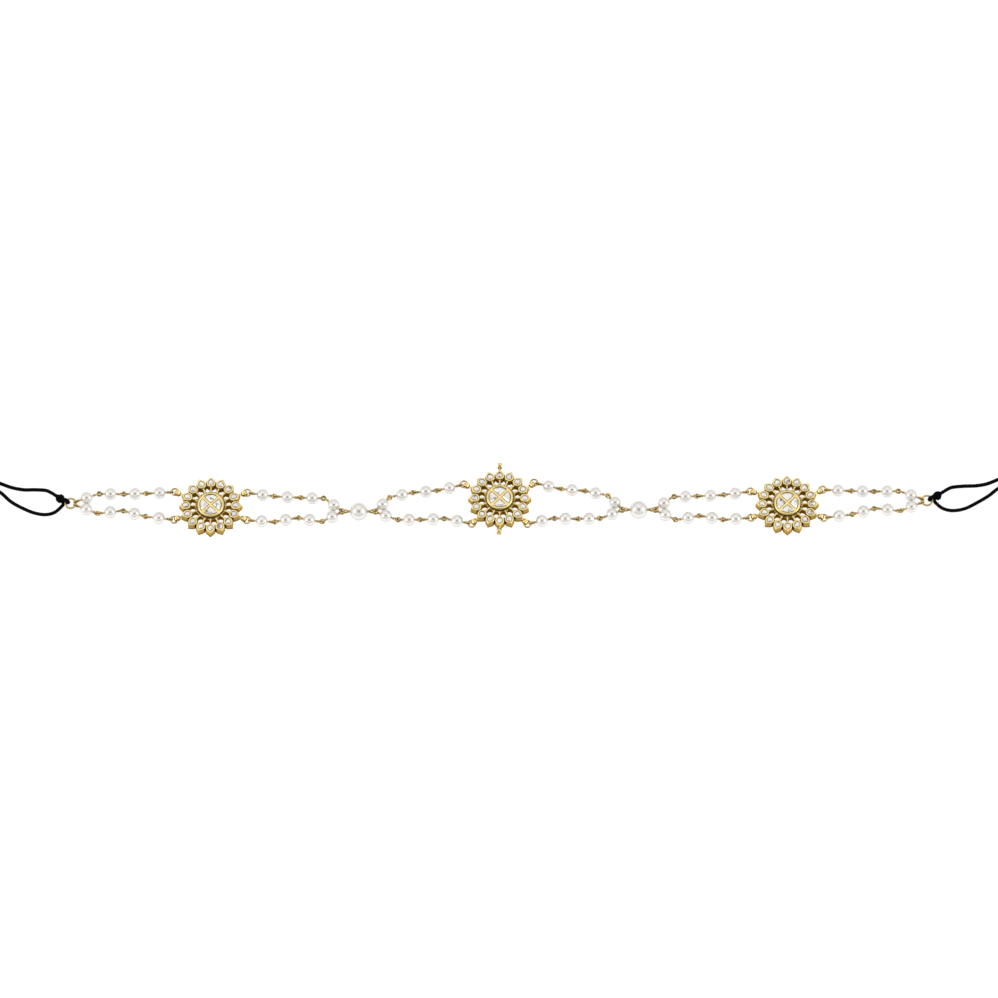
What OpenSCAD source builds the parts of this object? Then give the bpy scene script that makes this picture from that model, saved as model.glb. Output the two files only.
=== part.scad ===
// Matha patti, a jewel worn over the hair: three flower motifs set with flat-cut stones, joined by
// double strands of pearls on eye pins, with an elastic cord loop tied to each end.
// It lies flat on the plane z = 0. X runs along the jewel, Y across it, and the origin is the middle
// of the centre motif's flat back. Every link lies at the height of a small pearl's centre.

/* [Flower motif] */
// Number of petals round a motif
petals = 16; // [14:1:17]
// Distance from a motif's centre to the middle of a petal's round part
petal_centre_r = 10.05; // [9.9:0.05:10.6]
// Distance from the middle of a petal's round part to its tip
petal_len = 2.75; // [2.6:0.05:3.2]
// Width of a petal
petal_w = 4.1; // [4:0.05:4.3]
// Height of a petal's bezel above the flat back
petal_h = 3.5; // [3.2:0.1:4]
// Wall of a petal's bezel round its stone
petal_wall = 0.6; // [0.4:0.05:0.8]
// Step from the petal's outline in to its bezel
petal_step = 0.18; // [0.1:0.02:0.3]
// Height of the pierced plate
plate_h = 2.6; // [1.8:0.1:2.9]
// Width of the thin spokes between the openings
spoke_w = 0.7; // [0.5:0.05:1]
// Radius of the plate's round middle
hub_r = 6.1; // [5.8:0.1:6.6]
// Radius of the centre bezel
bezel_r = 5.5; // [5.2:0.1:5.8]
// Height of the centre bezel above the flat back
bezel_h = 4.4; // [4:0.1:5]
// Width of the centre bezel's rim
bezel_wall = 1.0; // [0.6:0.05:1.3]
// Width of the crossed bars that part the four centre stones
bar_w = 0.8; // [0.5:0.05:1.1]
// How deep the stones' pockets are cut
pocket_depth = 0.8; // [0.6:0.05:0.85]

/* [Stones] */
// Gap between a stone and its pocket, all round and beneath
seat_gap = 0.11; // [0.1:0.01:0.14]
// Height of a stone's straight edge
girdle_h = 0.55; // [0.4:0.05:0.8]
// Height of a stone's cut crown above its edge
crown_h = 0.45; // [0.3:0.05:0.6]
// Size of a stone's flat table as a share of its outline
table_share = 0.56; // [0.4:0.02:0.7]

/* [Eyelets] */
// Outer radius of the barrel eyelets on a motif
eyelet_r = 1.35; // [1.2:0.05:1.5]
// Width of a barrel eyelet along its bore
eyelet_w = 1.8; // [1.4:0.1:2]
// Bore of a barrel eyelet
eyelet_bore = 1.35; // [1.25:0.05:1.5]
// How much thinner an eyelet's wall is at its two ends
eyelet_round = 0.2; // [0.1:0.05:0.3]
// Length of the neck between a petal's tip and its eyelet
neck_len = 0.45; // [0.3:0.05:0.8]
// Thickness of an eyelet's neck
neck_d = 1.1; // [0.8:0.1:1.2]

/* [Rings and pins] */
// Thickness of the wire of jump rings and eye pins
wire_d = 0.5; // [0.4:0.02:0.52]
// Radius of a jump ring, to the middle of its wire
jump_ring_r = 1.46; // [1.42:0.02:1.6]
// Radius of an end ring, to the middle of its wire
end_ring_r = 2.15; // [1.9:0.05:2.5]
// Thickness of an end ring's wire
end_ring_d = 0.6; // [0.5:0.05:0.7]
// Radius of an eye on a small pearl's pin, to the middle of its wire
eye_r = 0.84; // [0.82:0.01:0.88]
// Radius of an eye on a big pearl's pin, to the middle of its wire
hook_r = 1.18; // [1.17:0.01:1.26]
// Thickness of the wrapped collar at the root of each eye
collar_d = 0.75; // [0.65:0.05:0.8]
// Length of the wrapped collar at the root of each eye
collar_len = 0.45; // [0.3:0.05:0.5]
// Gap between two linked wires
link_gap = 0.11; // [0.08:0.01:0.12]
// Slack between two linked eyes that lie in line
joint_gap = 0.34; // [0.3:0.02:0.38]
// Space between the two strands' eyes, one above the other, in a big pearl's eye
stack_gap = 0.36; // [0.34:0.01:0.4]
// How far these two eyes hang below the middle of the big pearl's eye
stack_drop = 0.07; // [0.05:0.01:0.09]

/* [Pearls] */
// Diameter of the small pearls
pearl_d = 5.0; // [4.6:0.05:5.05]
// Diameter of the two big pearls
big_pearl_d = 7.3; // [6.8:0.1:7.6]
// Gap between a pearl's drill hole and the pin's wire
bore_gap = 0.15; // [0.1:0.01:0.2]
// Bare pin between a big pearl and the collar beside it
big_pin_bare = 0.15; // [0.1:0.05:0.4]

/* [Elastic cord] */
// Thickness of the cord
cord_d = 1.3; // [1.1:0.05:1.5]
// Radius of the knot's wraps, to the middle of the cord
wrap_r = 0.8; // [0.7:0.05:1]
// Distance from one wrap of the knot to the next
wrap_pitch = 1.0; // [0.9:0.05:1.1]
// Gap between the cord's small bight and the end ring's wire
bight_gap = 0.15; // [0.11:0.01:0.25]

/* [Hidden] */
// Facets of the round shapes
$fn = 48;

wire_r = wire_d / 2;
pearl_bore = wire_d + 2 * bore_gap;
bight_r = (cord_d + end_ring_d) / 2 + bight_gap;
link_z = pearl_d / 2;
big_z = big_pearl_d / 2;
half_pitch = 180 / petals;
petal_r = petal_w / 2;
petal_tip_r = petal_centre_r + petal_len;
pocket_tip_r = petal_centre_r + petal_len * (petal_r - petal_step - petal_wall) / petal_r;

// Half the distance between the middles of two linked eyes, and how far an eye's middle lies from
// the ring or hook that it hangs in
joint_reach = eye_r - wire_r - joint_gap / 2;
jump_reach = jump_ring_r + eye_r - wire_d - link_gap;
end_reach = end_ring_r + eye_r - (end_ring_d + wire_d) / 2 - link_gap;
hook_reach = link_gap;

// A jump ring's wire passes through the barrel eyelet and bends round inside it
ring_hold = sqrt(pow(jump_ring_r - wire_r, 2) - pow(eyelet_w / 2, 2)) + eyelet_bore / 2 - 2 * link_gap;

// The two strands' eyes lie one above the other in the upright eye of a big pearl's pin
stack_z = (wire_d + stack_gap) / 2;
hook_x = sqrt(pow(hook_r, 2) - pow(stack_z, 2));
big_eye_x = big_z + big_pin_bare + collar_len + hook_r + wire_r / 2;

// Where the pieces lie, chosen by eye, for the left and the right half
side_names = ["left", "right"];
side_signs = [-1, 1];
end_ring_at = [[-173.6, -2.1], [172.9, -0.8]];
side_motif_at = [[-116.9, -3.3], [116.3, -2.5]];
big_pearl_at = [[-57.0, -6.2], [56.2, -5.4]];
knot_at = [[-177.8, 0.2], [177.2, 1.5]];
knot_z = 2.1;
wrap_turn = 35;

// Eyelets: [petal that carries it, counted from +X, how far it leans from that petal's direction]
side_eyelets = [
    [[7, -5], [9, 0], [1, -2], [-1, -4]],
    [[1, 10], [-1, 1], [7, 6], [9, -2]]
];
centre_eyelets = [
    [[7, -8], [10, -2]],
    [[1, 25], [-2, -1]]
];
free_eyelets = [[4, 0], [-4, -8]];

// Strands: name, row (0 upper, 1 lower), start, end, bow across the strand at its three inner links,
// and turn of the eye at each of these links, mirrored on the left half
STRAND_NAME = 0;
STRAND_ROW = 1;
STRAND_START = 2;
STRAND_END = 3;
STRAND_BOWS = 4;
STRAND_TURNS = 5;
strand_table = [
    ["outer_top", 0, "end_ring", "outer_ring", [2.9, 1.6, 0.7], [60, 45, 0]],
    ["outer_bottom", 1, "end_ring", "outer_ring", [-2.6, 0.4, -0.6], [120, 45, 170]],
    ["middle_top", 0, "inner_ring", "outer_hook", [0.9, 2.6, 4.6], [0, 90, 150]],
    ["middle_bottom", 1, "inner_ring", "outer_hook", [-1.8, -0.7, -3.4], [90, 90, 45]],
    ["inner_top", 0, "inner_hook", "centre_ring", [4.6, 3.3, 0.9], [150, 0, 10]],
    ["inner_bottom", 1, "inner_hook", "centre_ring", [-2.0, -0.8, 0.9], [45, 0, 135]]
];

// The cord's route on each side, from the knot round the loop and back to it
cord_routes = [
    [
        [-179.4, 1.4, 2.0], [-181.6, 3.1, 1.5], [-184, 4.4, 1.0], [-188.5, 4.8, 0.7], [-193, 4.8, 0.7],
        [-197.8, 5.8, 0.7], [-202.4, 7.6, 0.7], [-206.4, 9.2, 0.7], [-209.5, 9.6, 0.7], [-211.3, 7.8, 0.7],
        [-209.5, 6.0, 0.7], [-206.4, 5.6, 0.7], [-202.4, 3.7, 0.7], [-197.8, -0.6, 0.7],
        [-193, -3.5, 0.7], [-188.5, -5.5, 0.7], [-184, -6.3, 0.7], [-180.2, -5.4, 0.8], [-177.5, -3.2, 1.3]
    ],
    [
        [178.9, 2.8, 2.0], [180.9, 4.4, 1.5], [183.4, 5.8, 1.0], [188, 6.4, 0.7], [193, 6.6, 0.7],
        [197.3, 7.4, 0.7], [201.8, 9.3, 0.7], [205.4, 10.9, 0.7], [208.5, 11.3, 0.7], [210.3, 9.5, 0.7],
        [208.5, 7.7, 0.7], [205.4, 7.2, 0.7], [201.8, 5.3, 0.7], [198, 2.1, 0.7],
        [193, -1.1, 0.7], [188, -3.7, 0.7], [183, -4.5, 0.7], [179.2, -3.5, 0.8], [176.7, -1.6, 1.3]
    ]
];
cord_sides = 8;
steps_per_span = 2;

function total(values, i = 0) = i == len(values) ? 0 : values[i] + total(values, i + 1);
function direction(angle) = [cos(angle), sin(angle)];
function petal_angle(number) = number * 2 * half_pitch;
function raised(point, z) = [point[0], point[1], z];

// An eyelet's middle and its jump ring's middle, from the motif's centre
function eyelet_angle(eyelet) = petal_angle(eyelet[0]) + eyelet[1];
function eyelet_at(eyelet) =
    petal_tip_r * direction(petal_angle(eyelet[0])) + (neck_len + eyelet_r) * direction(eyelet_angle(eyelet));
function jump_ring_at(motif, eyelet) =
    raised(motif + eyelet_at(eyelet) + ring_hold * direction(eyelet_angle(eyelet)), link_z);

// What a strand's end hangs in: [point, distance from it to the middle of the strand's eye, eye's turn]
function hook_at(side, way, row) =
    raised(
        big_pearl_at[side] + [way * side_signs[side] * (big_eye_x + hook_x), 0],
        big_z - stack_drop + (1 - 2 * row) * stack_z
    );
function anchor(side, place, row) =
    place == "end_ring" ? [raised(end_ring_at[side], link_z), end_reach, 90]
    : place == "outer_ring" ? [jump_ring_at(side_motif_at[side], side_eyelets[side][row]), jump_reach, 90]
    : place == "inner_ring" ? [jump_ring_at(side_motif_at[side], side_eyelets[side][2 + row]), jump_reach, 90]
    : place == "outer_hook" ? [hook_at(side, 1, row), hook_reach, 0]
    : place == "inner_hook" ? [hook_at(side, -1, row), hook_reach, 0]
    : [jump_ring_at([0, 0], centre_eyelets[side][row]), jump_reach, 90];

// Length between the two eyes of each pin, so that four equal pins fill the strand with its bows
function spans(pin_len, extras, rises) =
    [for (i = [0 : 3]) sqrt(max(pow(pin_len + extras[i], 2) - pow(rises[i], 2), 0.01))];
function fitted_pin(pin_len, length, extras, rises, tries) =
    tries == 0 ? pin_len
    : fitted_pin(pin_len + (length - total(spans(pin_len, extras, rises))) / 4, length, extras, rises, tries - 1);

// A strand's four pins: [middle of the first eye, middle of the last eye, turn of each eye]
function strand_pin_list(side, row) =
    let (
        start = anchor(side, row[STRAND_START], row[STRAND_ROW]),
        end = anchor(side, row[STRAND_END], row[STRAND_ROW]),
        flat = [end[0][0] - start[0][0], end[0][1] - start[0][1]],
        along = flat / norm(flat),
        across = [-along[1], along[0]] * sign(along[0]),
        bows = concat([0], row[STRAND_BOWS], [0]),
        heights = [start[0][2], link_z, link_z, link_z, end[0][2]],
        reaches = [start[1], joint_reach, joint_reach, joint_reach, end[1]],
        extras = [for (i = [0 : 3]) (i == 0 ? start[1] : joint_reach) + (i == 3 ? end[1] : joint_reach)],
        rises = [for (i = [0 : 3]) norm([bows[i + 1] - bows[i], heights[i + 1] - heights[i]])],
        pin_len = fitted_pin(1.8 * pearl_d, norm(flat), extras, rises, 12),
        steps = spans(pin_len, extras, rises),
        links = [for (i = [0 : 4]) let (
            run = i == 0 ? 0 : total([for (k = [0 : i - 1]) steps[k]]),
            spot = [start[0][0], start[0][1]] + run * along + bows[i] * across
        ) raised(spot, heights[i])],
        turns = side_signs[side] * row[STRAND_TURNS]
    )
    [for (i = [0 : 3]) let (heading = (links[i + 1] - links[i]) / norm(links[i + 1] - links[i])) [
        links[i] + heading * reaches[i],
        links[i + 1] - heading * reaches[i + 1],
        i == 0 ? start[2] : turns[i - 1] + 90,
        i == 3 ? end[2] : turns[i]
    ]];

// Node names
function strand_node(side, row, piece) = str(side_names[side], "_", row[STRAND_NAME], "_", piece);
motif_names = ["left_motif", "centre_motif", "right_motif"];
motif_at = [side_motif_at[0], [0, 0], side_motif_at[1]];
motif_eyelets = [side_eyelets[0], concat(centre_eyelets[0], centre_eyelets[1], free_eyelets), side_eyelets[1]];
jump_rings = [
    for (m = [0 : 2], e = [0 : 3])
        [str(motif_names[m], "_jump_ring_", e + 1), motif_at[m], motif_eyelets[m][e]]
];

// Puts its child's X axis on the line from one point to another, turned about that line
module between(from, to, turn = 0) {
    step = to - from;
    translate(from)
        rotate([0, -asin(step[2] / norm(step)), atan2(step[1], step[0])])
            rotate([turn, 0, 0])
                children();
}

// A round wire ring lying flat
module wire_ring(ring_r, thickness) {
    rotate_extrude()
        translate([ring_r, 0])
            circle(d = thickness, $fn = 24);
}

// A pointed leaf along +X: a round part at the origin, with straight flanks that touch it and meet at the tip
module leaf(round_r, tip_x) {
    touch = acos(round_r / tip_x);
    circle(r = round_r);
    polygon([[0, 0], round_r * direction(-touch), [tip_x, 0], round_r * direction(touch)]);
}

// The leaf with its flanks set in evenly
module inset_leaf(inset) {
    leaf(petal_r - inset, petal_len * (petal_r - inset) / petal_r);
}

module at_petals() {
    for (k = [0 : petals - 1])
        rotate([0, 0, petal_angle(k)])
            translate([petal_centre_r, 0, 0])
                children();
}

// One sector between the crossed bars, along +X
module sector(outer_r, half_bar) {
    corner = half_bar * sqrt(2);
    intersection() {
        circle(r = outer_r);
        polygon([[corner, 0], [corner + outer_r, -outer_r], [corner + outer_r, outer_r]]);
    }
}

// A barrel eyelet whose bore lies across the petal's direction, with its neck
module eyelet(spec) {
    spot = eyelet_at(spec);
    translate(raised(spot, link_z))
        rotate([0, 0, eyelet_angle(spec)])
            rotate([90, 0, 0])
                rotate_extrude()
                    polygon([
                        [eyelet_bore / 2, -eyelet_w / 2],
                        [eyelet_r - eyelet_round, -eyelet_w / 2],
                        [eyelet_r, -eyelet_w / 4],
                        [eyelet_r, eyelet_w / 4],
                        [eyelet_r - eyelet_round, eyelet_w / 2],
                        [eyelet_bore / 2, eyelet_w / 2]
                    ]);
    root = (pocket_tip_r + (petal_tip_r - pocket_tip_r) / 4) * direction(petal_angle(spec[0]));
    reach = spot - (eyelet_r + eyelet_bore / 2) / 2 * direction(eyelet_angle(spec));
    between(raised(root, link_z), raised(reach, link_z))
        rotate([0, 90, 0])
            cylinder(d = neck_d, h = norm(reach - root), $fn = 24);
}

// The gold body of a motif, cast in one with its eyelets
module motif_setting(eyelets) {
    color([0.85, 0.68, 0.27]) {
        difference() {
            union() {
                linear_extrude(plate_h) {
                    circle(r = hub_r);
                    at_petals() inset_leaf(0);
                    for (k = [0 : petals - 1])
                        rotate([0, 0, petal_angle(k)])
                            translate([0, -spoke_w / 2])
                                square([petal_centre_r, spoke_w]);
                }
                linear_extrude(bezel_h) circle(r = bezel_r);
                linear_extrude(petal_h) at_petals() inset_leaf(petal_step);
            }
            translate([0, 0, petal_h - pocket_depth])
                linear_extrude(petal_h) at_petals() inset_leaf(petal_step + petal_wall);
            translate([0, 0, bezel_h - pocket_depth])
                linear_extrude(bezel_h)
                    for (quarter = [0 : 3])
                        rotate([0, 0, 90 * quarter]) sector(bezel_r - bezel_wall, bar_w / 2);
        }
        for (spec = eyelets) eyelet(spec);
    }
}

// A flat-cut stone on a given outline: straight edge, sloping crown and flat table
module cut_stone(outline, middle) {
    n = len(outline);
    points = concat(
        [for (p = outline) [p[0], p[1], 0]],
        [for (p = outline) [p[0], p[1], girdle_h]],
        [for (p = outline) let (q = middle + table_share * (p - middle)) [q[0], q[1], girdle_h + crown_h]]
    );
    faces = concat(
        [[for (i = [0 : n - 1]) i]],
        [for (level = [0 : 1], i = [0 : n - 1])
            [level * n + i, (level + 1) * n + i, (level + 1) * n + (i + 1) % n, level * n + (i + 1) % n]],
        [[for (i = [0 : n - 1]) 3 * n - 1 - i]]
    );
    color([0.93, 0.94, 0.96]) polyhedron(points, faces);
}

// Outlines of the two cuts
leaf_stone_r = petal_r - petal_step - petal_wall - seat_gap;
leaf_stone_tip = petal_len * leaf_stone_r / petal_r;
leaf_touch = acos(leaf_stone_r / leaf_stone_tip);
leaf_outline = concat(
    [[leaf_stone_tip, 0]],
    [for (i = [0 : 8]) leaf_stone_r * direction(leaf_touch + (360 - 2 * leaf_touch) * i / 8)]
);
sector_stone_r = bezel_r - bezel_wall - seat_gap;
sector_corner = (bar_w / 2 + seat_gap) * sqrt(2);
sector_reach = 45 - asin((bar_w / 2 + seat_gap) / sector_stone_r);
sector_outline = concat(
    [[sector_corner, 0]],
    [for (i = [0 : 7]) sector_stone_r * direction(-sector_reach + 2 * sector_reach * i / 7)]
);

module petal_stones() {
    translate([0, 0, petal_h - pocket_depth + seat_gap])
        at_petals() cut_stone(leaf_outline, [0.1 * leaf_stone_tip, 0]);
}

module centre_stones() {
    translate([0, 0, bezel_h - pocket_depth + seat_gap])
        for (quarter = [0 : 3])
            rotate([0, 0, 90 * quarter])
                cut_stone(sector_outline, [0.65 * sector_stone_r, 0]);
}

// A pearl with its drill hole along X
module pearl(diameter) {
    color([0.94, 0.92, 0.89])
        rotate([0, 90, 0])
            rotate_extrude()
                difference() {
                    circle(d = diameter);
                    translate([-diameter, -diameter]) square([diameter + pearl_bore / 2, 2 * diameter]);
                }
}

// A pin along +X from the middle of one eye to the middle of the other, with a collar at each eye's root
module eye_pin(length, ring_r, turn_a, turn_b) {
    color([0.7, 0.55, 0.26]) {
        rotate([turn_a, 0, 0]) wire_ring(ring_r, wire_d);
        translate([length, 0, 0]) rotate([turn_b, 0, 0]) wire_ring(ring_r, wire_d);
        rotate([0, 90, 0]) {
            translate([0, 0, ring_r]) cylinder(d = wire_d, h = length - 2 * ring_r, $fn = 24);
            for (root = [ring_r + wire_r / 2, length - ring_r - wire_r / 2 - collar_len])
                translate([0, 0, root]) cylinder(d = collar_d, h = collar_len, $fn = 24);
        }
    }
}

module strand_pearls(side, row) {
    for (pin = strand_pin_list(side, row))
        translate((pin[0] + pin[1]) / 2)
            between([0, 0, 0], pin[1] - pin[0])
                pearl(pearl_d);
}

module strand_pins(side, row) {
    for (pin = strand_pin_list(side, row))
        between(pin[0], pin[1])
            eye_pin(norm(pin[1] - pin[0]), eye_r, pin[2], pin[3]);
}

module big_pearl(side) {
    translate(raised(big_pearl_at[side], big_z)) pearl(big_pearl_d);
}

module big_pin(side) {
    translate(raised(big_pearl_at[side] - [big_eye_x, 0], big_z))
        eye_pin(2 * big_eye_x, hook_r, 90, 90);
}

module jump_ring(motif, spec) {
    color([0.7, 0.55, 0.26])
        translate(jump_ring_at(motif, spec))
            wire_ring(jump_ring_r, wire_d);
}

module end_ring(side) {
    color([0.7, 0.55, 0.26])
        translate(raised(end_ring_at[side], link_z))
            wire_ring(end_ring_r, end_ring_d);
}

// The knot: an upright bight through the end ring, and three wraps beside it
module knot(side) {
    away = knot_at[side] - end_ring_at[side];
    bight_at = raised(end_ring_at[side] + end_ring_r * away / norm(away), link_z);
    middle = raised(knot_at[side], knot_z);
    axis = middle - bight_at;
    color([0.07, 0.07, 0.08]) {
        between(bight_at, middle) rotate([90, 0, 0]) wire_ring(bight_r, cord_d);
        between(middle, middle + axis, wrap_turn)
            rotate([0, 90, 0])
                rotate_extrude() {
                    for (wrap = [-1 : 1])
                        translate([wrap_r, wrap * wrap_pitch]) circle(d = cord_d, $fn = 24);
                    translate([0, -1.4 * wrap_pitch]) square([wrap_r, 2.8 * wrap_pitch]);
                }
    }
}

// The cord: a smooth curve through the route's points, swept as a tube
function curve_point(a, b, c, d, t) =
    0.5 * (2 * b + (c - a) * t + (2 * a - 5 * b + 4 * c - d) * t * t + (3 * b - a - 3 * c + d) * t * t * t);
function curve(route) =
    let (last = len(route) - 1)
    concat(
        [for (i = [0 : last - 1], k = [0 : steps_per_span - 1])
            curve_point(route[max(i - 1, 0)], route[i], route[i + 1], route[min(i + 2, last)], k / steps_per_span)],
        [route[last]]
    );

module cord(side) {
    path = curve(cord_routes[side]);
    rings = len(path);
    points = [for (i = [0 : rings - 1])
        let (
            step = path[min(i + 1, rings - 1)] - path[max(i - 1, 0)],
            ahead = step / norm(step),
            across = cross([0, 0, 1], ahead) / norm(cross([0, 0, 1], ahead)),
            up = cross(ahead, across)
        )
        for (k = [0 : cord_sides - 1])
            let (turn = 360 * (k + 0.5) / cord_sides)
            path[i] + cord_d / 2 * (cos(turn) * across + sin(turn) * up)];
    faces = concat(
        [[for (k = [0 : cord_sides - 1]) k]],
        [for (i = [0 : rings - 2], k = [0 : cord_sides - 1])
            let (next = (k + 1) % cord_sides)
            [i * cord_sides + k, (i + 1) * cord_sides + k, (i + 1) * cord_sides + next, i * cord_sides + next]],
        [[for (k = [0 : cord_sides - 1]) rings * cord_sides - 1 - k]]
    );
    color([0.07, 0.07, 0.08]) polyhedron(points, faces);
}

for (m = [0 : 2]) {
    translate(motif_at[m]) motif_setting(motif_eyelets[m]);
    translate(motif_at[m]) petal_stones();
    translate(motif_at[m]) centre_stones();
}
for (side = [0, 1], row = strand_table) {
    strand_pearls(side, row);
    strand_pins(side, row);
}
for (ring = jump_rings)
    jump_ring(ring[1], ring[2]);
for (side = [0, 1]) {
    big_pearl(side);
    big_pin(side);
    end_ring(side);
    knot(side);
    cord(side);
}
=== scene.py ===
"""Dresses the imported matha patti: pearls on eye pins, gold flower motifs set with flat-cut stones, rings and cord."""

import math
import random

import bmesh
import bpy
import numpy as np
from mathutils import Matrix, Vector


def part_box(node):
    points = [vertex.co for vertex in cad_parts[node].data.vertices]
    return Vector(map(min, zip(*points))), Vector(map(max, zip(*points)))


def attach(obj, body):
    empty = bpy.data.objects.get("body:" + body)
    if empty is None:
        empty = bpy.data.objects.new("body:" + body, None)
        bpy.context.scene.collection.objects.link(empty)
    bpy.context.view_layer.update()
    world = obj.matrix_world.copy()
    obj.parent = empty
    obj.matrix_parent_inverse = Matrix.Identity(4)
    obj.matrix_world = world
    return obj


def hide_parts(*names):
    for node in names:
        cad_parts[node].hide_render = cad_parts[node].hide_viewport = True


bl_info = {
    "name": "Matha patti",
    "version": (1, 0, 0),
    "blender": (4, 5, 0),
    "location": "View3D > Sidebar > Matha patti",
    "description": "Pearls, wirework, set flower motifs and elastic cord for a jewel worn over the hair",
    "category": "Object",
}

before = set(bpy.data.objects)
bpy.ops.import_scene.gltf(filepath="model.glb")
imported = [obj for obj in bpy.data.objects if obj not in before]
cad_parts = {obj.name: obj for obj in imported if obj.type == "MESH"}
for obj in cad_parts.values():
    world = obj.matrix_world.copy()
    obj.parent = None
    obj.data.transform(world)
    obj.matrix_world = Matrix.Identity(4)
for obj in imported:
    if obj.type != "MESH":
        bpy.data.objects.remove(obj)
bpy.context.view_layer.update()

MM = 0.001
FULL = 2 * math.pi
QUARTER = math.pi / 2
ORIGIN = (0, 0, 0)
Z_AXIS = (0, 0, 1)
UPRIGHT = (QUARTER, 0, 0)
ALONG_X = (0, QUARTER, 0)

# Corners nearer than this are merged, and corners this near to a level lie on it
MERGE = 2e-7
LEVEL = 1e-6

# Sharp edges turn by more than this, in radians
SHARP = 0.5

# How far a bezel's rim is rounded, as a share of its width
RIM_ROUND = 0.46

# How far along a crossed bar each flare starts, and how much it widens the bar
BAR_FLARES = ((0.68, 1.14), (0.82, 1.22), (0.97, 1.15))

# Seeds of the chance turns of rings, rolls of pearls and leans of stones
RING_SEED, PEARL_SEED, STONE_SEED = 7, 3, 11

# Width of the camera's sensor in millimetres; the floor and the softboxes in metres
SENSOR_W = 36.0
FLOOR_SIZE = 16.0
SOFTBOX_AT = (2.85, -0.6, 1.45)
SOFTBOX_SIZE = (2.0, 2.5)

SIDES = ("left", "right")
MOTIFS = ("left_motif", "centre_motif", "right_motif")
STRANDS = ("outer_top", "outer_bottom", "middle_top", "middle_bottom", "inner_top", "inner_bottom")

# Eyelets of each motif: the petal that carries it, counted from +X, and how far it leans in degrees
EYELETS = {
    "left_motif": ((7, -5), (9, 0), (1, -2), (-1, -4)),
    "centre_motif": ((7, -8), (10, -2), (1, 25), (-2, -1), (4, 0), (-4, -8)),
    "right_motif": ((1, 10), (-1, 1), (7, 6), (9, -2)),
}

# The cords' routes from the knot round the loop and back to it, in millimetres, as seen from above
CORD_ROUTES = {
    "left": (
        (-179.4, 1.4), (-181.6, 3.1), (-184.0, 4.4), (-188.5, 4.8), (-193.0, 4.8), (-197.8, 5.8), (-202.4, 7.6),
        (-206.4, 9.2), (-209.5, 9.6), (-211.3, 7.8), (-209.5, 6.0), (-206.4, 5.6), (-202.4, 3.7), (-197.8, -0.6),
        (-193.0, -3.5), (-188.5, -5.5), (-184.0, -6.3), (-180.2, -5.4), (-177.5, -3.2),
    ),
    "right": (
        (178.9, 2.8), (180.9, 4.4), (183.4, 5.8), (188.0, 6.4), (193.0, 6.6), (197.3, 7.4), (201.8, 9.3),
        (205.4, 10.9), (208.5, 11.3), (210.3, 9.5), (208.5, 7.7), (205.4, 7.2), (201.8, 5.3), (198.0, 2.1),
        (193.0, -1.1), (188.0, -3.7), (183.0, -4.5), (179.2, -3.5), (176.7, -1.6),
    ),
}

# Height of the cord's middle at each point of its route: on the floor but for both ends, at the knot
CORD_HEIGHTS = (2.0, 1.5, 1.0, *[0.75] * 14, 0.82, 1.3)

# Middle of each knot's wraps, in millimetres
KNOT_AT = {"left": (-177.8, 0.2, 2.1), "right": (177.2, 1.5, 2.1)}


def size(name, description, millimetres):
    """A size that a user can change, in metres, from its default in millimetres."""
    return bpy.props.FloatProperty(
        name=name, description=description, default=millimetres * MM, min=0.0, precision=5, unit="LENGTH"
    )


def angle(name, description, degrees):
    """An angle that a user can change, from its default in degrees."""
    return bpy.props.FloatProperty(
        name=name, description=description, default=math.radians(degrees), subtype="ANGLE"
    )


def tone(name, description, colour):
    """A colour that a user can change."""
    return bpy.props.FloatVectorProperty(
        name=name, description=description, default=colour, min=0.0, max=1.0, size=3, subtype="COLOR"
    )


class FlowerSizes(bpy.types.PropertyGroup):
    """Sizes of the three flower motifs."""

    petals: bpy.props.IntProperty(name="Petals", description="Petals round a motif", default=16, min=3)
    petal_centre_r: size("Petal ring", "From a motif's centre to the middle of a petal's round part", 10.05)
    petal_tip_r: size("Petal tips", "From a motif's centre to a petal's tip", 12.8)
    petal_w: size("Petal width", "Width of a petal", 4.1)
    petal_h: size("Petal height", "Height of a petal's bezel above the flat back", 3.5)
    petal_wall: size("Petal wall", "Rounded rim of a petal's bezel round its stone", 0.68)
    petal_step: size("Petal step", "Step from the petal's outline in to its bezel", 0.18)
    plate_h: size("Plate height", "Height of the pierced plate", 2.6)
    spoke_w: size("Spoke width", "Width of the spokes between the openings", 0.68)
    spoke_t: size("Spoke depth", "Depth of the spokes between the openings", 0.9)
    opening_w: size("Opening width", "Width of an oval opening between two spokes", 2.4)
    opening_l: size("Opening length", "Length of an opening, from the centre bezel outwards", 2.9)
    opening_at: size("Opening ring", "From a motif's centre to the middle of an opening", 7.5)
    web_h: size("Web height", "Height of the web round the openings", 3.1)
    web_w: size("Web width", "Width of the web round an opening", 0.55)
    hub_r: size("Hub radius", "Radius of the plate's round middle", 6.0)
    bezel_r: size("Bezel radius", "Radius of the centre bezel", 5.5)
    bezel_h: size("Bezel height", "Height of the centre bezel above the flat back", 4.4)
    bezel_wall: size("Bezel rim", "Width of the centre bezel's rim", 1.22)
    bar_w: size("Bar width", "Width of the crossed bars between the centre stones", 1.1)
    pocket_depth: size("Pocket depth", "How deep the stones' pockets are cut", 0.8)
    soft_edge: size("Soft edge", "How far the polished edges of the gold are rounded", 0.13)


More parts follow.
